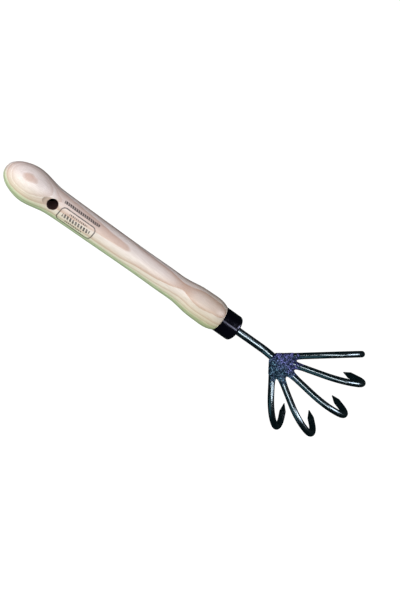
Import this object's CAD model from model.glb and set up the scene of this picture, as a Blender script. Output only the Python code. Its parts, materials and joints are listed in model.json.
import json
import math
from types import SimpleNamespace

import bmesh
import bpy
import numpy as np
from mathutils import Matrix, Vector, noise


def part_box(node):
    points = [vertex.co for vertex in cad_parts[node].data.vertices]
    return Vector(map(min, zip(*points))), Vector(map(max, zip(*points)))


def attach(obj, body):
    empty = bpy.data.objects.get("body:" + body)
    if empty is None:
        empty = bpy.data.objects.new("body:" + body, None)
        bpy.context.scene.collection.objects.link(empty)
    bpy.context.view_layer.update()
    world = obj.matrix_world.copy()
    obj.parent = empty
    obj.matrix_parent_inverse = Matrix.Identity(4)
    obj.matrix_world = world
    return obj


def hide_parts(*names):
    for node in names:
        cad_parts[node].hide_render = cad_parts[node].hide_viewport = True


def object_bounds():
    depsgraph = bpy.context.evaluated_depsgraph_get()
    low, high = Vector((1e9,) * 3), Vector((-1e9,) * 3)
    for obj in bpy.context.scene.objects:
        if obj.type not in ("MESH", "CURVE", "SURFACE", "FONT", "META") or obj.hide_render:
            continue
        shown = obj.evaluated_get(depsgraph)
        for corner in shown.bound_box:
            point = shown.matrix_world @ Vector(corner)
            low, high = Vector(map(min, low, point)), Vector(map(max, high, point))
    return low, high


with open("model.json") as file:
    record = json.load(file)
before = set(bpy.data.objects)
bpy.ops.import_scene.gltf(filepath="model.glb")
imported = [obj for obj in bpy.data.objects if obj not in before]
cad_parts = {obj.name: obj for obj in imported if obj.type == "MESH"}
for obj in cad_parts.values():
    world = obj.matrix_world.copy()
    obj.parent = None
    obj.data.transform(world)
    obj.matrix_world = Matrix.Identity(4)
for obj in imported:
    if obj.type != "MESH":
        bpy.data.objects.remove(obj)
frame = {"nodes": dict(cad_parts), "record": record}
CAD_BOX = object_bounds()

# Lengths are in metres, in the part's own frame: +X runs along the handle to the tines, +Z is the
# side away from the hooks, +Y is the tool's left, and the origin is the middle of the hang hole.
# Inside the materials and the weld shapes, lengths are in millimetres instead.
MM = 0.001

BUTT_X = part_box("handle")[0].x
FERRULE_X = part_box("ferrule")[0].x
FERRULE_FRONT_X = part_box("ferrule")[1].x
FLOOR_Z = CAD_BOX[0][2]

# The tines fan out from the hub, the point on the neck's end where their axes meet, in a plane that
# rises from the handle's axis.
FAN_RISE = math.radians(30)
NECK_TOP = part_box("neck_rod")[1]
NECK_RADIUS = NECK_TOP.y
TINE_RADIUS = 3.5 * MM
HUB = Vector((NECK_TOP.x - NECK_RADIUS * math.sin(FAN_RISE), 0,
              NECK_TOP.z - NECK_RADIUS * math.cos(FAN_RISE)))
TINE_ANGLES = [math.radians(angle) for angle in (43.5, 22.5, -1, -27, -52)]
TINES = ["tine_outer_left", "tine_inner_left", "tine_centre", "tine_inner_right", "tine_outer_right"]

# How the camera looks at the tool: the handle's slope into the picture, the tool's tilt about the
# handle, and the handle's slope in the picture. The middle of the ferrule's back edge is seen this
# far to the right of the picture's middle and below it.
VIEW_SLOPE = math.radians(17.174)
VIEW_TILT = math.radians(13.636)
VIEW_ROLL = math.radians(35.301)
CAMERA_DISTANCE = 1.716667
AIM_RIGHT = 0.019887
AIM_DOWN = 0.018578
LENS_MM = 100
SENSOR_MM = 36
FARTHEST_SEEN = 50


def view_axes():
    """The picture's right, down and inward directions in the part's frame."""
    along = Vector((math.cos(VIEW_SLOPE), math.sin(VIEW_TILT) * math.sin(VIEW_SLOPE),
                    math.cos(VIEW_TILT) * math.sin(VIEW_SLOPE)))
    across = Vector((0, -math.cos(VIEW_TILT), math.sin(VIEW_TILT)))
    inward = Vector((math.sin(VIEW_SLOPE), -math.sin(VIEW_TILT) * math.cos(VIEW_SLOPE),
                     -math.cos(VIEW_TILT) * math.cos(VIEW_SLOPE)))
    right = math.cos(VIEW_ROLL) * along - math.sin(VIEW_ROLL) * across
    down = math.sin(VIEW_ROLL) * along + math.cos(VIEW_ROLL) * across
    return right, down, inward


RIGHT, DOWN, INWARD = view_axes()


# ---------------------------------------------------------------- node graph helper


class Graph:
    """A short way to write a material's nodes. Its place is the point's position in millimetres."""

    def __init__(self, name):
        self.material = bpy.data.materials.new(name)
        self.material.use_nodes = True
        self.tree = self.material.node_tree
        self.tree.nodes.clear()
        self.shader = self.tree.nodes.new("ShaderNodeBsdfPrincipled")
        self.output = self.tree.nodes.new("ShaderNodeOutputMaterial")
        self.tree.links.new(self.shader.outputs[0], self.output.inputs["Surface"])
        place = self.tree.nodes.new("ShaderNodeTexCoord").outputs["Object"]
        self.place = self.scale(place, 1 / MM)

    def feed(self, socket, value):
        if value is None:
            return
        if isinstance(value, bpy.types.NodeSocket):
            self.tree.links.new(value, socket)
        else:
            socket.default_value = value

    def maths(self, operation, first, second=None, third=None, clamp=False):
        node = self.tree.nodes.new("ShaderNodeMath")
        node.operation = operation
        node.use_clamp = clamp
        for socket, value in zip(node.inputs, (first, second, third)):
            self.feed(socket, value)
        return node.outputs[0]

    def scale(self, vector, factor):
        node = self.tree.nodes.new("ShaderNodeVectorMath")
        node.operation = "SCALE"
        self.feed(node.inputs[0], vector)
        self.feed(node.inputs["Scale"], factor)
        return node.outputs[0]

    def dot(self, vector, direction):
        node = self.tree.nodes.new("ShaderNodeVectorMath")
        node.operation = "DOT_PRODUCT"
        self.feed(node.inputs[0], vector)
        self.feed(node.inputs[1], direction)
        return node.outputs["Value"]

    def length(self, x, y, z):
        node = self.tree.nodes.new("ShaderNodeVectorMath")
        node.operation = "LENGTH"
        self.feed(node.inputs[0], self.join(x, y, z))
        return node.outputs["Value"]

    def join(self, x, y, z):
        node = self.tree.nodes.new("ShaderNodeCombineXYZ")
        for socket, value in zip(node.inputs, (x, y, z)):
            self.feed(socket, value)
        return node.outputs[0]

    def noise(self, vector, size=1.0, detail=2.0, roughness=0.5):
        node = self.tree.nodes.new("ShaderNodeTexNoise")
        self.feed(node.inputs["Vector"], vector)
        self.feed(node.inputs["Scale"], size)
        self.feed(node.inputs["Detail"], detail)
        self.feed(node.inputs["Roughness"], roughness)
        return node.outputs["Fac"]

    def wander(self, vector, height, detail, size=1.0):
        """Slow noise that strays half the height to either side of 0."""
        level = self.noise(vector, size=size, detail=detail)
        return self.maths("MULTIPLY", self.maths("SUBTRACT", level, 0.5), height)

    def remap(self, value, low, high, to_low=0.0, to_high=1.0, smooth=False):
        node = self.tree.nodes.new("ShaderNodeMapRange")
        node.interpolation_type = "SMOOTHSTEP" if smooth else "LINEAR"
        for socket, number in zip(node.inputs, (value, low, high, to_low, to_high)):
            self.feed(socket, number)
        return node.outputs[0]

    def curve(self, value, points):
        """Straight pieces between (position, level) points, both from 0 to 1."""
        node = self.tree.nodes.new("ShaderNodeValToRGB")
        stops = node.color_ramp.elements
        while len(stops) < len(points):
            stops.new(0.5)
        for stop, (position, level) in zip(stops, points):
            stop.position = position
            stop.color = (level, level, level, 1)
        self.feed(node.inputs[0], value)
        return node.outputs[0]

    def stepped(self, value, points):
        """Straight pieces between (position, level) points, for any range of numbers."""
        low = points[0][0]
        high = points[-1][0]
        bottom = min(level for _, level in points)
        top = max(level for _, level in points)
        shares = [((place - low) / (high - low), (level - bottom) / (top - bottom))
                  for place, level in points]
        return self.remap(self.curve(self.remap(value, low, high), shares), 0.0, 1.0, bottom, top)

    def band(self, value, middle, half_width, edge):
        """1 within half_width of the middle, falling to 0 over the edge width."""
        away = self.maths("ABSOLUTE", self.maths("SUBTRACT", value, middle))
        return self.remap(away, half_width - edge / 2, half_width + edge / 2, 1.0, 0.0)

    def mix(self, factor, first, second, blend="MIX"):
        node = self.tree.nodes.new("ShaderNodeMix")
        node.data_type = "RGBA"
        node.blend_type = blend
        # a mix node's colour sockets come after those for numbers and vectors
        self.feed(node.inputs[0], factor)
        self.feed(node.inputs[6], first)
        self.feed(node.inputs[7], second)
        return node.outputs[2]

    def bump(self, height, distance, strength):
        node = self.tree.nodes.new("ShaderNodeBump")
        self.feed(node.inputs["Height"], height)
        self.feed(node.inputs["Distance"], distance)
        self.feed(node.inputs["Strength"], strength)
        return node.outputs[0]

    def grazing(self):
        """0 where the surface faces the viewer, 1 where it is seen edge on."""
        node = self.tree.nodes.new("ShaderNodeLayerWeight")
        node.inputs["Blend"].default_value = 0.5
        return node.outputs["Facing"]

    def finish(self, **settings):
        for name, value in settings.items():
            self.feed(self.shader.inputs[name.replace("_", " ")], value)
        return self.material


def paint(red, green, blue):
    """A display colour, 0 to 255 a channel, as the linear colour the shader needs."""
    linear = []
    for level in (red, green, blue):
        share = level / 255
        linear.append(share / 12.92 if share <= 0.04045 else ((share + 0.055) / 1.055) ** 2.4)
    return (*linear, 1)


# ---------------------------------------------------------------- ash wood

# The growth rings are wide cylinders whose middle lies far below the handle. RING_TURN is the way
# the rings face, turned about the handle's axis from straight up. The grain isn't quite straight:
# GRAIN_DRIFT is what it adds to a point's height in the rings, at places along the handle.
RING_TURN = math.radians(30)
RING_CENTRE_DEPTH = 90.0
GRAIN_DRIFT = ((-60, -0.8), (-46, -2.0), (-38, -3.8), (-30, -5.6), (-20, -6.5), (10, -7.1),
               (50, -8.05), (88, -8.6), (105, -10.1), (131, -11.3), (150, -12.85), (160, -13.5),
               (184, -14.8), (200, -15.8), (207, -15.4), (214, -14.3), (240, -14.0))
# How far the rings' middle line wanders sideways, and the stretch of handle where it does so
GRAIN_LEAN = 9.0
LEAN_START = 95.0
LEAN_END = 200.0
# Unevenness of the rings: how long it is along the handle, how wide across it, and how high
WAVE_LENGTH, WAVE_WIDTH, WAVE_HEIGHT = 45, 16, 1.3
WAVER_LENGTH, WAVER_WIDTH, WAVER_HEIGHT = 13, 6, 0.55
# One year an entry, outward from the middle of the handle: where its early wood starts, how much of
# the year that fills and how strong it is
YEARS = ((-34.0, 0.3, 0.6), (-30.6, 0.3, 0.8), (-27.4, 0.3, 0.6), (-23.8, 0.3, 0.7), (-20.4, 0.3, 0.8),
         (-17.4, 0.3, 0.6), (-13.6, 0.3, 0.8), (-10.4, 0.3, 0.85), (-7.0, 0.3, 0.8), (-3.5, 0.3, 0.85),
         (0.0, 0.35, 1.0), (4.7, 0.95, 0.85), (7.6, 0.4, 0.7), (9.0, 0.35, 0.5), (13.1, 0.9, 0.75),
         (17.0, 0.3, 0.6))
# How the early wood fades over twice its reach: a sharp inner edge, then less and less outward
EARLY_FADING = ((0.0, 0.2), (0.05, 1.0), (0.2, 0.78), (0.45, 0.35), (0.8, 0.06), (1.0, 0.0))
FADING_SPAN = 2.0
# Most of a noise lies between these levels.
NOISE_SPAN = (0.3, 0.7)
# Fibres, pale streaks and pores: how long they are along the handle, the noise levels between which
# they show, and how strongly they colour the wood
FIBRE_LENGTH, FIBRE_LEVELS, FIBRE_STRENGTH = 26, (0.38, 0.7), 0.5
STREAK_LENGTH, STREAK_LEVELS, STREAK_STRENGTH = 60, (0.35, 0.7), 0.4
PORE_LENGTH, PORE_LEVELS, PORE_STRENGTH = 8, (0.56, 0.68), 0.45
PORES_IN_LATE_WOOD = 0.15
# The varnished surface: its roughness over the fibres, and how much rougher pores and bore are
WOOD_ROUGHNESS = (0.38, 0.52)
PORE_ROUGHNESS = 0.2
BORE_ROUGHNESS = 0.4
FIBRE_RELIEF = 0.25
WOOD_RELIEF = 0.05 * MM

# The wood changes colour across the handle, from SIDE_LEFT to SIDE_RIGHT, and is a little yellower
# toward its front. Each pair of colours is for the tool's left and right.
SIDE_LEFT = 12.0
SIDE_RIGHT = -13.0
SIDE_POWER = 1.5
PALE_WOOD = (paint(218, 209, 209), paint(221, 215, 190))
TAN_WOOD = (paint(182, 146, 130), paint(184, 156, 126))
STREAK_WOOD = (paint(186, 176, 173), paint(196, 188, 158))
FIBRE_WOOD = (paint(178, 161, 154), paint(184, 174, 140))
PORE_WOOD = paint(132, 98, 78)
FRONT_TINT = paint(222, 216, 190)
FRONT_TINT_START = 138.0
FRONT_TINT_END = 200.0
FRONT_TINT_STRENGTH = 0.45
# The varnish has a green tint on the tool's right, mostly where it is seen edge on. It fades in and
# out between these turns about the handle's axis from straight up.
STAIN_NEAR = (math.radians(0), math.radians(-58))
STAIN_FAR = (math.radians(-98), math.radians(-72))
STAIN_GRAZING = (0.22, 0.5)
STAIN_FACED = 0.1
PALE_STAINED = paint(182, 219, 172)
TAN_STAINED = paint(154, 160, 120)

# The hang hole's bore and the cone that is cut around its mouth
BORE_RADIUS = frame["record"]["mounts"][0]["dims"]["r_mm"]
BORE_TOP = 14.4
CONE_HALF_ANGLE = math.radians(65)
CONE_REACH = 12.0
CONE_SKIN = 0.18
CONE_SKIN_EDGE = 0.12
# Grime on the cone, from where it starts to darken to the rim
GRIME_START = 8.5
CONE_GRIME = (paint(186, 168, 152), paint(140, 122, 108))
GRIME_ON_FIBRES = (0.7, 1.0)
# Scorched wood in the bore, and how far it fades into the wood and up to the mouth
BORE_SCORCH = (paint(50, 26, 28), paint(82, 48, 46))
SCORCH_FADE = (BORE_RADIUS + 0.05, BORE_RADIUS + 0.35)
SCORCH_TOP_FADE = (BORE_TOP, BORE_TOP + 0.4)

# The ink mark beside the hang hole: a plain long loop with rows of bars in it, and a row above it.
MARK_X = 30.5
MARK_TURN = math.radians(-11)
MARK_RADIUS = 14.2
MARK_HALF_LENGTH = 20.5
MARK_HALF_WIDTH = 7.6
MARK_CORNER = 4.5
MARK_LINE = 0.6
UPPER_ROW_TURN = math.radians(38)
INK = paint(30, 16, 22)
INK_STRENGTH = 0.96
# Where the ink is worn, and how much of it is left there
WORN_LEVELS = (0.34, 0.56)
WORN_SHARE = 0.6
# The ink is only on the handle's upper side, up to these turns either way.
UPPER_SIDE = (1.5, 1.6)
# Each row of bars: its height on the wood, half the bars' height, their pitch, how much of the
# pitch is ink, and half the row's length
SMALL_BARS = (0.9, 2.1, 0.6, 10.5)
LOOP_ROWS = ((4.4, *SMALL_BARS), (0.0, 2.0, 3.3, 0.6, 16.5), (-4.4, *SMALL_BARS))
UPPER_ROW = (0.0, 1.6, 2.5, 0.8, 21.5)
BAR_SLANT = 0.3
BAR_SHIFT = 100.0
INK_EDGE = 0.25
LINE_EDGE = 0.3


def wood_place(g):
    """Where a point lies on the handle and, as outward and aside, in its growth rings."""
    facing = (0, math.sin(RING_TURN), math.cos(RING_TURN))
    sideways = (0, math.cos(RING_TURN), -math.sin(RING_TURN))
    wood = SimpleNamespace()
    wood.along = g.dot(g.place, (1, 0, 0))
    wood.left = g.dot(g.place, (0, 1, 0))
    wood.up = g.dot(g.place, (0, 0, 1))
    wood.turn = g.maths("ARCTAN2", wood.left, wood.up)
    wood.from_bore = g.length(wood.along, wood.left, 0.0)
    wood.outward = g.dot(g.place, facing)
    lean = g.remap(wood.along, LEAN_START, LEAN_END, 0.0, GRAIN_LEAN)
    wood.aside = g.maths("ADD", g.dot(g.place, sideways), lean)
    return wood


def stretched(g, wood, length, width=1):
    """A place in the wood, drawn out along the grain."""
    return g.join(g.maths("MULTIPLY", wood.along, 1 / length), g.maths("MULTIPLY", wood.outward, 1 / width),
                  g.maths("MULTIPLY", wood.aside, 1 / width))


def ring_height(g, wood):
    """Height in the stack of growth rings, with the grain's slow waves and small wavers."""
    wave = g.wander(stretched(g, wood, WAVE_LENGTH, WAVE_WIDTH), WAVE_HEIGHT, detail=1.0)
    waver = g.wander(stretched(g, wood, WAVER_LENGTH, WAVER_WIDTH), WAVER_HEIGHT, detail=2.0)
    from_centre = g.length(0.0, g.maths("ADD", wood.outward, RING_CENTRE_DEPTH), wood.aside)
    height = g.maths("SUBTRACT", from_centre, RING_CENTRE_DEPTH)
    drift = g.stepped(wood.along, GRAIN_DRIFT)
    return g.maths("ADD", g.maths("ADD", height, drift), g.maths("ADD", wave, waver))


def early_wood(g, height):
    """How strongly a height in the rings is a year's darker early wood."""
    year = g.stepped(height, [(start, index) for index, (start, _, _) in enumerate(YEARS)])
    number = g.maths("FLOOR", year)
    reach = g.stepped(number, [(index, share) for index, (_, share, _) in enumerate(YEARS)])
    strength = g.stepped(number, [(index, level) for index, (_, _, level) in enumerate(YEARS)])
    spent = g.maths("DIVIDE", g.maths("FRACT", year), reach)
    return g.maths("MULTIPLY", g.curve(g.remap(spent, 0.0, FADING_SPAN), EARLY_FADING), strength)


def open_pores(g, wood, early):
    """The pores, most of them in each year's early wood."""
    pores = g.noise(stretched(g, wood, PORE_LENGTH), size=4.2, detail=2.0, roughness=0.7)
    share = g.maths("MULTIPLY_ADD", early, 1 - PORES_IN_LATE_WOOD, PORES_IN_LATE_WOOD)
    return g.maths("MULTIPLY", g.remap(pores, *PORE_LEVELS), share)


def green_stain(g, wood):
    """How green the varnish looks at each place."""
    between = g.maths("MULTIPLY", g.remap(wood.turn, *STAIN_NEAR, smooth=True),
                      g.remap(wood.turn, *STAIN_FAR, smooth=True))
    return g.maths("MULTIPLY", between, g.remap(g.grazing(), *STAIN_GRAZING, STAIN_FACED, 1.0, smooth=True))


def bare_wood(g, wood, early, fibres, pores):
    """The colour of the turned and varnished wood, away from the hole and the ink."""
    side = g.maths("POWER", g.remap(wood.left, SIDE_LEFT, SIDE_RIGHT), SIDE_POWER)
    stain = green_stain(g, wood)
    pale = g.mix(stain, g.mix(side, *PALE_WOOD), PALE_STAINED)
    tan = g.mix(stain, g.mix(side, *TAN_WOOD), TAN_STAINED)
    colour = g.mix(early, pale, tan)
    streaks = g.noise(stretched(g, wood, STREAK_LENGTH), size=0.8, detail=3.0, roughness=0.6)
    streaked = g.remap(streaks, *STREAK_LEVELS, 0.0, STREAK_STRENGTH)
    colour = g.mix(streaked, colour, g.mix(side, *STREAK_WOOD))
    fibrous = g.remap(fibres, *FIBRE_LEVELS, 0.0, FIBRE_STRENGTH)
    colour = g.mix(fibrous, colour, g.mix(side, *FIBRE_WOOD))
    colour = g.mix(g.maths("MULTIPLY", pores, PORE_STRENGTH), colour, PORE_WOOD)
    yellowed = g.remap(wood.along, FRONT_TINT_START, FRONT_TINT_END, 0.0, FRONT_TINT_STRENGTH)
    return g.mix(yellowed, colour, FRONT_TINT, blend="MULTIPLY")


def darkened_cone(g, wood, colour, fibres):
    """The cone cut across the fibres has darkened, most at its rim."""
    past_bore = g.maths("SUBTRACT", wood.from_bore, BORE_RADIUS)
    cone_height = g.maths("MULTIPLY_ADD", past_bore, 1 / math.tan(CONE_HALF_ANGLE), BORE_TOP)
    above_cone = g.maths("SUBTRACT", wood.up, cone_height)
    on_cone = g.maths("MULTIPLY", g.band(above_cone, 0.0, CONE_SKIN, CONE_SKIN_EDGE),
                      g.maths("LESS_THAN", wood.from_bore, CONE_REACH))
    grime = g.mix(g.remap(wood.from_bore, GRIME_START, CONE_REACH), *CONE_GRIME)
    held = g.remap(fibres, *NOISE_SPAN, *GRIME_ON_FIBRES)
    return g.mix(g.maths("MULTIPLY", on_cone, held), colour, grime)


def bars(g, x, across, row):
    """A row of plain slanted bars, centred on x = 0."""
    height, half_height, pitch, share, half_length = row
    slanted = g.maths("ADD", g.maths("MULTIPLY_ADD", across, BAR_SLANT, BAR_SHIFT), x)
    comb = g.maths("LESS_THAN", g.maths("FRACT", g.maths("DIVIDE", slanted, pitch)), share)
    ink = g.maths("MULTIPLY", comb, g.band(across, height, half_height, INK_EDGE))
    return g.maths("MULTIPLY", ink, g.maths("LESS_THAN", g.maths("ABSOLUTE", x), half_length))


def ink_mark(g, wood):
    """How much ink lies at each place: a loop, three rows of bars in it and one row above it."""
    across = g.maths("MULTIPLY", g.maths("SUBTRACT", wood.turn, MARK_TURN), MARK_RADIUS)
    x = g.maths("SUBTRACT", wood.along, MARK_X)
    past_x = g.maths("SUBTRACT", g.maths("ABSOLUTE", x), MARK_HALF_LENGTH - MARK_CORNER)
    past_y = g.maths("SUBTRACT", g.maths("ABSOLUTE", across), MARK_HALF_WIDTH - MARK_CORNER)
    from_core = g.length(g.maths("MAXIMUM", past_x, 0.0), g.maths("MAXIMUM", past_y, 0.0), 0.0)
    ink = g.band(from_core, MARK_CORNER, MARK_LINE, LINE_EDGE)
    for row in LOOP_ROWS:
        ink = g.maths("MAXIMUM", ink, bars(g, x, across, row))
    above = g.maths("MULTIPLY", g.maths("SUBTRACT", wood.turn, UPPER_ROW_TURN), MARK_RADIUS)
    ink = g.maths("MAXIMUM", ink, bars(g, x, above, UPPER_ROW))
    left_over = g.remap(g.noise(g.place, size=0.9, detail=3.0), *WORN_LEVELS, WORN_SHARE, 1.0)
    ink = g.maths("MULTIPLY", ink, left_over, clamp=True)
    upper_side = g.remap(g.maths("ABSOLUTE", wood.turn), *UPPER_SIDE, 1.0, 0.0)
    return g.maths("MULTIPLY", ink, upper_side)


def ash_wood():
    """Turned and varnished ash, with the hang hole's cut wood and the ink mark."""
    g = Graph("ash_wood_oiled")
    wood = wood_place(g)
    early = early_wood(g, ring_height(g, wood))
    fibres = g.noise(stretched(g, wood, FIBRE_LENGTH), size=2.2, detail=5.0, roughness=0.62)
    pores = open_pores(g, wood, early)

    colour = bare_wood(g, wood, early, fibres, pores)
    colour = darkened_cone(g, wood, colour, fibres)
    # the drilled bore is scorched dark, and the ink sits on the surface
    in_bore = g.maths("MULTIPLY", g.remap(wood.from_bore, *SCORCH_FADE, 1.0, 0.0),
                      g.remap(wood.up, *SCORCH_TOP_FADE, 1.0, 0.0))
    colour = g.mix(in_bore, colour, g.mix(g.noise(g.place, size=0.5, detail=3.0), *BORE_SCORCH))
    colour = g.mix(g.maths("MULTIPLY", ink_mark(g, wood), INK_STRENGTH), colour, INK)

    roughness = g.remap(fibres, *NOISE_SPAN, *WOOD_ROUGHNESS)
    roughness = g.maths("ADD", roughness, g.maths("MULTIPLY", pores, PORE_ROUGHNESS))
    roughness = g.maths("ADD", roughness, g.maths("MULTIPLY", in_bore, BORE_ROUGHNESS))
    relief = g.maths("SUBTRACT", g.maths("MULTIPLY", fibres, FIBRE_RELIEF), pores)
    normal = g.bump(relief, WOOD_RELIEF, strength=0.5)
    return g.finish(Base_Color=colour, Roughness=roughness, Normal=normal,
                    Coat_Weight=0.2, Coat_Roughness=0.3)


# ---------------------------------------------------------------- welds

# The welds are shaped in the fan's own axes: X along the middle of the fan, Y to the tool's left
# and Z out of the fan's upper face, in millimetres from the hub.
FAN_AXES = Matrix.Rotation(-FAN_RISE, 4, "Y").to_3x3()
ROD_RADIUS = TINE_RADIUS / MM
# The mound over the hub is a rounded block: its middle and half sizes, and how square it is
MOUND_MIDDLE = (11.8, -0.6)
MOUND_SIZE = (11.2, 10.3, 5.2)
MOUND_SQUARENESS = 3
MOUND_MELT = 1.0
# Its two halves overlap a little, and each is cast from a point inside it.
HALF_OVERLAP = 0.35
CAST_X = 9.5
CAST_Y = -0.6
CAST_HEIGHT = 1.5
# The weld also runs along each tine: how far, and how much it leans away from the fan's outside
SLEEVE_REACHES = (23.0, 22.0, 23.6, 23.4, 18.5)
SLEEVE_LEANS = (-0.5, 0.0, 0.0, 0.0, 0.5)
SLEEVE_RADIUS = 4.25
SLEEVE_START = 4.5
SLEEVE_RISE = 0.3
SLEEVE_END = 1.8
# The webs fill the corners between the tines: how far from both tines each one still fills its
# corner, where it is cast from, where its back is and how deep it bites into the tines
WEB_GAPS = (1.24, 1.96, 2.19, 1.56)
WEB_CENTRE = 19.0
WEB_BACK = 11.0
WEB_BITE = 1.0
TINE_LENGTH = 60.0
# Uneven weld metal: the size of its broad lumps and of the small beads on them
LUMP_SIZE = 3.1
BEAD_SIZE = 1.5
BEAD_LEVEL = 0.35
SEED_STEPS = (17.3, 5.1, 9.7)
# Heights of the lumps and beads on the mound and on the webs, and how far out the rays look
MOUND_RELIEF = (0.42, 0.3)
WEB_RELIEF = (0.2, 0.15)
MOUND_RAY = 40.0
WEB_RAY = 20.0
RAY_HALVINGS = 18
SPHERE_SUBDIVISIONS = 6


def melt(first, second, reach):
    """Joins two distance fields with a fillet of this reach."""
    overlap = np.maximum(reach - np.abs(first - second), 0) / reach
    return np.minimum(first, second) - overlap ** 2 * reach / 4


def fan_way(angle):
    """The way a tine at this angle runs in the fan."""
    return np.array((math.cos(angle), math.sin(angle), 0.0))


def middle_way(place):
    """The way between two neighbouring tines."""
    return fan_way(sum(TINE_ANGLES[place:place + 2]) / 2)


def rod_distance(points, start, way, length, radius):
    """Distance to a round rod."""
    along = np.clip((points - start) @ way, 0, length)
    axis = start + along[:, None] * way
    return np.linalg.norm(points - axis, axis=1) - radius


def mound_distance(points):
    """Distance to the whole mound, with the weld that runs out along the tines."""
    offset = (points - np.array((*MOUND_MIDDLE, 0))) / np.array(MOUND_SIZE)
    outline = np.hypot(offset[:, 0], offset[:, 1])
    power_sum = outline ** MOUND_SQUARENESS + np.abs(offset[:, 2]) ** MOUND_SQUARENESS
    distance = (power_sum ** (1 / MOUND_SQUARENESS) - 1) * min(MOUND_SIZE)
    folded = points * (1, 1, 0) + np.abs(points) * (0, 0, 1)
    for angle, reach, lean in zip(TINE_ANGLES, SLEEVE_REACHES, SLEEVE_LEANS):
        way = fan_way(angle)
        start = way * SLEEVE_START + np.array((-way[1] * lean, way[0] * lean, SLEEVE_RISE))
        sleeve = rod_distance(folded, start, way, reach - SLEEVE_END - SLEEVE_START, SLEEVE_RADIUS)
        distance = melt(distance, sleeve, MOUND_MELT)
    return distance


def upper_distance(points):
    return np.maximum(mound_distance(points), -HALF_OVERLAP - points[:, 2])


def lower_distance(points):
    return np.maximum(mound_distance(points), points[:, 2] - HALF_OVERLAP)


def web_distance(points, place):
    """Distance to the metal in the narrow corner between two neighbouring tines."""
    rods = [rod_distance(points, np.zeros(3), fan_way(angle), TINE_LENGTH, ROD_RADIUS)
            for angle in TINE_ANGLES[place:place + 2]]
    filled = melt(rods[0], rods[1], 4 * WEB_GAPS[place])
    behind = WEB_BACK - points @ middle_way(place)
    return np.max((filled, -WEB_BITE - rods[0], -WEB_BITE - rods[1], behind), axis=0)


def lumps(points, seed, lump_height, bead_height):
    """How far the uneven metal stands out at each point."""
    shift = Vector([seed * step for step in SEED_STEPS])
    heights = []
    for point in points:
        place = Vector(point) + shift
        broad = noise.noise(place / LUMP_SIZE)
        beads = noise.noise(place / BEAD_SIZE)
        heights.append(lump_height * broad + bead_height * (BEAD_LEVEL - abs(beads)) * 2)
    return np.array(heights)


def cast_weld(name, node, centre, distance, seed, relief, ray):
    """Casts rays from the centre to where the distance field ends, as one closed lumpy mesh."""
    shape = bmesh.new()
    bmesh.ops.create_icosphere(shape, subdivisions=SPHERE_SUBDIVISIONS, radius=1)
    ways = np.array([vertex.co[:] for vertex in shape.verts])
    ways /= np.linalg.norm(ways, axis=1)[:, None]
    near = np.zeros(len(ways))
    far = np.full(len(ways), ray)
    for _ in range(RAY_HALVINGS):
        middle = (near + far) / 2
        inside = distance(centre + ways * middle[:, None]) < 0
        near = np.where(inside, middle, near)
        far = np.where(inside, far, middle)
    surface = centre + ways * near[:, None]
    near = near + lumps(surface, seed, *relief)
    surface = centre + ways * near[:, None]
    for vertex, place in zip(shape.verts, surface):
        vertex.co = HUB + FAN_AXES @ Vector(place * MM)
    mesh = bpy.data.meshes.new(name)
    shape.to_mesh(mesh)
    shape.free()
    mesh.polygons.foreach_set("use_smooth", [True] * len(mesh.polygons))
    piece = bpy.data.objects.new(name, mesh)
    bpy.context.scene.collection.objects.link(piece)
    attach(piece, "root")
    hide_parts(node)
    return piece


def hub_bead(side, distance, height, seed):
    centre = np.array((CAST_X, CAST_Y, height))
    return cast_weld(f"hub_weld_{side}_bead", f"hub_weld_{side}", centre, distance, seed,
                     MOUND_RELIEF, MOUND_RAY)


def web_bead(place, seed):
    centre = middle_way(place) * WEB_CENTRE
    return cast_weld(f"web_bead_{place + 1}", f"web_weld_{place + 1}", centre,
                     lambda points: web_distance(points, place), seed, WEB_RELIEF, WEB_RAY)


def build_welds(material):
    """The six weld beads, which replace the smooth welds of the frame."""
    pieces = [hub_bead("upper", upper_distance, CAST_HEIGHT, seed=1),
              hub_bead("lower", lower_distance, -CAST_HEIGHT, seed=2)]
    for place in range(len(WEB_GAPS)):
        pieces.append(web_bead(place, seed=3 + place))
    for piece in pieces:
        piece.data.materials.append(material)


# ---------------------------------------------------------------- black finishes

# How strongly the lacquer mirrors, at places along the tool
FERRULE_SHEEN = ((FERRULE_X / MM, 0.12), (FERRULE_FRONT_X / MM - 5, 0.3), (FERRULE_FRONT_X / MM, 1.0))
ROD_SHEEN = ((FERRULE_FRONT_X / MM, 0.8), (275, 0.7), (300, 0.5), (385, 0.45))
# Scuffs: the noise levels between which they show, and their grey, strength and roughness
SCUFF_LEVELS = (0.60, 0.74)
SCUFF_GREY = paint(34, 38, 44)
SCUFF_STRENGTH = 0.25
SCUFF_ROUGHNESS = 0.08
# What the ripples' lows and highs add to the roughness
RIPPLE_DULLNESS = (-0.03, 0.04)

# Painted weld metal: each pair of colours is for the hub's right and left, which meet in an uneven
# line. Levels are the noise levels between which a thing shows.
WELD_BASE = (paint(6, 28, 46), paint(20, 20, 66))
WELD_RIGHT = -5.0
WELD_LEFT = 4.0
WELD_SIDE_DRIFT = 24.0
GLINT_COLOURS = (paint(104, 142, 164), paint(122, 124, 190))
GLINT_LEVELS = (0.51, 0.58)
GLINT_PATCHES = (0.4, 0.6)
GLINTS_BETWEEN = 0.45
PIT_BLACK = paint(1, 3, 8)
PIT_LEVELS = (0.41, 0.5)
PIT_STRENGTH = 0.97
SOOT_BLACK = paint(2, 5, 14)
SOOT_LEVELS = (0.42, 0.54)
SOOT_STRENGTH = 0.88
WELD_ROUGHNESS = (0.5, 0.3)
WELD_RELIEF = 0.6 * MM


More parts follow.
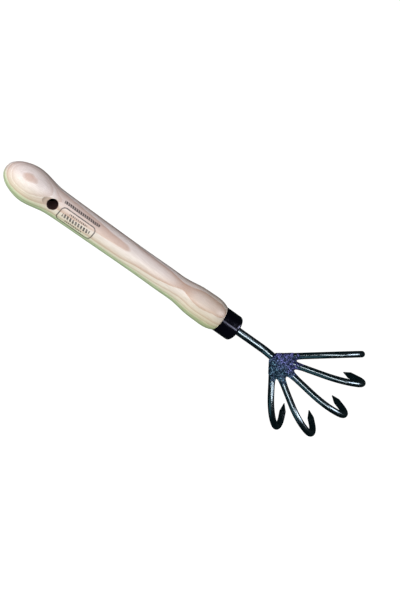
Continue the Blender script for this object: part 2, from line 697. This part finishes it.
def black_lacquer(name, colour, mirror_tint, wave_depth, dullness, ior, sheen):
    """Black paint over steel, with slow ripples and a few faint scuffs."""
    g = Graph(name)
    along = g.dot(g.place, (1, 0, 0))
    ripples = g.noise(g.place, size=0.16, detail=1.0)
    scuffs = g.remap(g.noise(g.place, size=0.4, detail=4.0, roughness=0.7), *SCUFF_LEVELS)
    scuffed = g.mix(g.maths("MULTIPLY", scuffs, SCUFF_STRENGTH), colour, SCUFF_GREY)
    rippled = [dullness + change for change in RIPPLE_DULLNESS]
    roughness = g.remap(ripples, *NOISE_SPAN, *rippled)
    roughness = g.maths("ADD", roughness, g.maths("MULTIPLY", scuffs, SCUFF_ROUGHNESS))
    normal = g.bump(ripples, wave_depth, strength=0.6)
    return g.finish(Base_Color=scuffed, Roughness=roughness, Normal=normal, IOR=ior,
                    Specular_IOR_Level=g.stepped(along, sheen), Specular_Tint=mirror_tint)


def ferrule_paint():
    return black_lacquer("ferrule_paint", colour=paint(5, 5, 11), mirror_tint=(0.68, 0.7, 1.0, 1),
                         wave_depth=0.004 * MM, dullness=0.16, ior=1.5, sheen=FERRULE_SHEEN)


def rod_paint():
    return black_lacquer("rod_paint", colour=paint(1, 9, 12), mirror_tint=(0.72, 0.9, 1.0, 1),
                         wave_depth=0.02 * MM, dullness=0.23, ior=2.2, sheen=ROD_SHEEN)


def weld_metal():
    """Rough painted metal: glints, pits and sooty patches over a colour that changes across the hub."""
    g = Graph("weld_metal_painted")
    drift = g.wander(g.place, WELD_SIDE_DRIFT, size=0.2, detail=2.0)
    side = g.remap(g.maths("ADD", g.dot(g.place, (0, 1, 0)), drift), WELD_RIGHT, WELD_LEFT)
    grain = g.noise(g.place, size=0.85, detail=4.0, roughness=0.7)
    patches = g.noise(g.place, size=0.32, detail=2.0, roughness=0.6)
    glints = g.maths("MULTIPLY", g.remap(patches, *GLINT_PATCHES, GLINTS_BETWEEN, 1.0),
                     g.remap(grain, *GLINT_LEVELS))
    colour = g.mix(glints, g.mix(side, *WELD_BASE), g.mix(side, *GLINT_COLOURS))
    colour = g.mix(g.remap(grain, *PIT_LEVELS, PIT_STRENGTH, 0.0), colour, PIT_BLACK)
    colour = g.mix(g.remap(patches, *SOOT_LEVELS, SOOT_STRENGTH, 0.0), colour, SOOT_BLACK)
    normal = g.bump(grain, WELD_RELIEF, strength=0.9)
    roughness = g.remap(grain, *NOISE_SPAN, *WELD_ROUGHNESS)
    return g.finish(Base_Color=colour, Roughness=roughness, Normal=normal,
                    Specular_Tint=(0.4, 0.6, 1.0, 1))


def cover(names, material):
    """Gives nodes that keep their own shape a finish."""
    for name in names:
        piece = frame["nodes"][name]
        piece.data.materials.clear()
        piece.data.materials.append(material)


# ---------------------------------------------------------------- camera, floor and light

# The lamps stand round this point.
STAGE_MIDDLE = Vector((0.165, 0, 0.005))
# The floor and the studio round it look pale to the camera. What they send to the tool is felt
# light and what is mirrored in it, and both are kept dim.
FLOOR_REACH = 6.0
FLOOR_GLOW = 0.95
FLOOR_PAPER = (0.12, 0.12, 0.12, 1)
FLOOR_FELT = (0.138, 0.134, 0.126)
FLOOR_MIRRORED = (0.012, 0.02, 0.022)
STUDIO_SEEN = ((1, 1, 1), 1.0)
STUDIO_FELT = ((0.93, 0.93, 1.0), 0.06)
STUDIO_MIRRORED = ((0.6, 0.7, 0.8), 0.012)
# The strip of floor under the handle that stays dark, in millimetres, and where it is darkest: the
# share of its half width, of the way to the butt and of the way to the ferrule
SHADE_MIDDLE_Y = -5.0
SHADE_HALF_WIDTH = 11.0
DARKEST_WIDTH = 0.2
DARKEST_BACK = 0.5
DARKEST_FRONT = 0.9
BLACK = (0.0, 0.0, 0.0, 1)

LAMPS = (
    # a long narrow soft box near the camera, level with the handle in the picture
    dict(name="long_box", right=0.24, up=-0.17, back=2.0, length=3.2, width=0.36, watts=56,
         colour=(1.0, 0.99, 0.98), turn=VIEW_ROLL),
    # highlights on the right-hand tine, and on the sides of the rods
    dict(name="right_box", right=1.4, up=-0.15, back=0.55, length=0.9, width=0.45, watts=20,
         colour=(0.93, 0.93, 1.0), fills=False),
    dict(name="teal_card", right=-0.75, up=-1.0, back=0.75, length=1.2, width=1.4, watts=2.3,
         colour=(0.35, 0.85, 1.0), turn=VIEW_ROLL, fills=False),
    # soft fills for the handle's lower edge and its butt end
    dict(name="low_fill", right=-1.0, up=-1.4, back=0.6, length=1.0, width=1.0, watts=10,
         colour=(0.98, 1.0, 0.95), shines=False),
    dict(name="butt_fill", right=-1.2, up=0.85, back=0.8, length=1.0, width=1.0, watts=21,
         colour=(1.0, 0.97, 0.98), shines=False),
)


def add_camera():
    aim = Vector((FERRULE_X, 0, 0))
    place = aim - AIM_RIGHT * RIGHT - AIM_DOWN * DOWN - CAMERA_DISTANCE * INWARD
    data = bpy.data.cameras.new("camera")
    data.lens = LENS_MM
    data.sensor_width = SENSOR_MM
    data.sensor_height = SENSOR_MM
    data.clip_end = FARTHEST_SEEN
    camera = bpy.data.objects.new("camera", data)
    turn = Matrix((RIGHT, -DOWN, -INWARD)).transposed()
    camera.matrix_world = Matrix.Translation(place) @ turn.to_4x4()
    bpy.context.scene.collection.objects.link(camera)
    bpy.context.scene.camera = camera


def add_lamp(name, right, up, back, length, width, watts, colour, turn=0.0, shines=True, fills=True):
    """A rectangular lamp placed by the picture's right, up and toward-the-camera directions.
    Turn is the slope of its long side in the picture. A lamp that doesn't shine leaves no
    highlight, and one that doesn't fill leaves nothing else."""
    data = bpy.data.lights.new(name, "AREA")
    data.shape = "RECTANGLE"
    data.size = length
    data.size_y = width
    data.energy = watts
    data.color = colour
    lamp = bpy.data.objects.new(name, data)
    place = STAGE_MIDDLE + right * RIGHT - up * DOWN - back * INWARD
    out = (place - STAGE_MIDDLE).normalized()
    long_side = math.cos(turn) * RIGHT + math.sin(turn) * DOWN
    long_side = (long_side - long_side.dot(out) * out).normalized()
    axes = Matrix((long_side, out.cross(long_side), out)).transposed()
    lamp.matrix_world = Matrix.Translation(place) @ axes.to_4x4()
    lamp.visible_glossy = shines
    lamp.visible_diffuse = fills
    bpy.context.scene.collection.objects.link(lamp)


def ray_mix(tree, ray, without, with_it):
    """Mixes two shaders by the kind of ray that meets them."""
    rays = tree.nodes.new("ShaderNodeLightPath")
    mix = tree.nodes.new("ShaderNodeMixShader")
    tree.links.new(rays.outputs[ray], mix.inputs[0])
    tree.links.new(without, mix.inputs[1])
    tree.links.new(with_it, mix.inputs[2])
    return mix.outputs[0]


def plain(tree, kind, colour, strength=None):
    node = tree.nodes.new(kind)
    node.inputs["Color"].default_value = (*colour, 1)
    if strength is not None:
        node.inputs["Strength"].default_value = strength
    return node.outputs[0]


def lit_share(g):
    """0 on the strip of floor right under the handle, where no light would reach, and 1 elsewhere."""
    along = g.dot(g.place, (1, 0, 0))
    left = g.dot(g.place, (0, 1, 0))
    aside = g.maths("ABSOLUTE", g.maths("SUBTRACT", left, SHADE_MIDDLE_Y))
    shade = g.remap(aside, SHADE_HALF_WIDTH, DARKEST_WIDTH * SHADE_HALF_WIDTH, smooth=True)
    from_back = g.remap(along, BUTT_X / MM, DARKEST_BACK * BUTT_X / MM, smooth=True)
    from_front = g.remap(along, FERRULE_FRONT_X / MM, DARKEST_FRONT * FERRULE_X / MM, smooth=True)
    shade = g.maths("MULTIPLY", g.maths("MULTIPLY", shade, from_back), from_front)
    return g.maths("SUBTRACT", 1.0, shade)


def floor_material():
    """A pale floor that glows softly to the camera and sends little light back to the tool."""
    g = Graph("studio_floor")
    tree = g.tree
    lit = lit_share(g)
    glow = tree.nodes.new("ShaderNodeEmission")
    g.feed(glow.inputs["Strength"], g.maths("MULTIPLY", lit, FLOOR_GLOW))
    paper = tree.nodes.new("ShaderNodeBsdfDiffuse")
    g.feed(paper.inputs["Color"], g.mix(lit, BLACK, FLOOR_PAPER))
    seen = tree.nodes.new("ShaderNodeAddShader")
    tree.links.new(glow.outputs[0], seen.inputs[0])
    tree.links.new(paper.outputs[0], seen.inputs[1])
    felt = plain(tree, "ShaderNodeBsdfDiffuse", FLOOR_FELT)
    mirrored = plain(tree, "ShaderNodeBsdfDiffuse", FLOOR_MIRRORED)
    surface = ray_mix(tree, "Is Glossy Ray", felt, mirrored)
    surface = ray_mix(tree, "Is Camera Ray", surface, seen.outputs[0])
    tree.links.new(surface, g.output.inputs["Surface"])
    return g.material


def add_floor():
    mesh = bpy.data.meshes.new("floor")
    sides = ((-1, -1), (1, -1), (1, 1), (-1, 1))
    corners = [(x * FLOOR_REACH, y * FLOOR_REACH, FLOOR_Z) for x, y in sides]
    mesh.from_pydata(corners, [], [(0, 1, 2, 3)])
    floor = bpy.data.objects.new("floor", mesh)
    bpy.context.scene.collection.objects.link(floor)
    mesh.materials.append(floor_material())


def add_world():
    """White to the camera, and dim to everything that it lights or is mirrored in."""
    world = bpy.data.worlds.new("studio")
    world.use_nodes = True
    tree = world.node_tree
    tree.nodes.clear()
    output = tree.nodes.new("ShaderNodeOutputWorld")
    seen = plain(tree, "ShaderNodeBackground", *STUDIO_SEEN)
    felt = plain(tree, "ShaderNodeBackground", *STUDIO_FELT)
    mirrored = plain(tree, "ShaderNodeBackground", *STUDIO_MIRRORED)
    surface = ray_mix(tree, "Is Glossy Ray", felt, mirrored)
    surface = ray_mix(tree, "Is Camera Ray", surface, seen)
    tree.links.new(surface, output.inputs["Surface"])
    bpy.context.scene.world = world


# ---------------------------------------------------------------- the whole scene

cover(["handle"], ash_wood())
cover(["ferrule"], ferrule_paint())
cover(["neck_rod"] + TINES, rod_paint())
build_welds(weld_metal())

add_camera()
add_floor()
add_world()
for lamp in LAMPS:
    add_lamp(**lamp)
bpy.context.scene.view_settings.view_transform = "Standard"
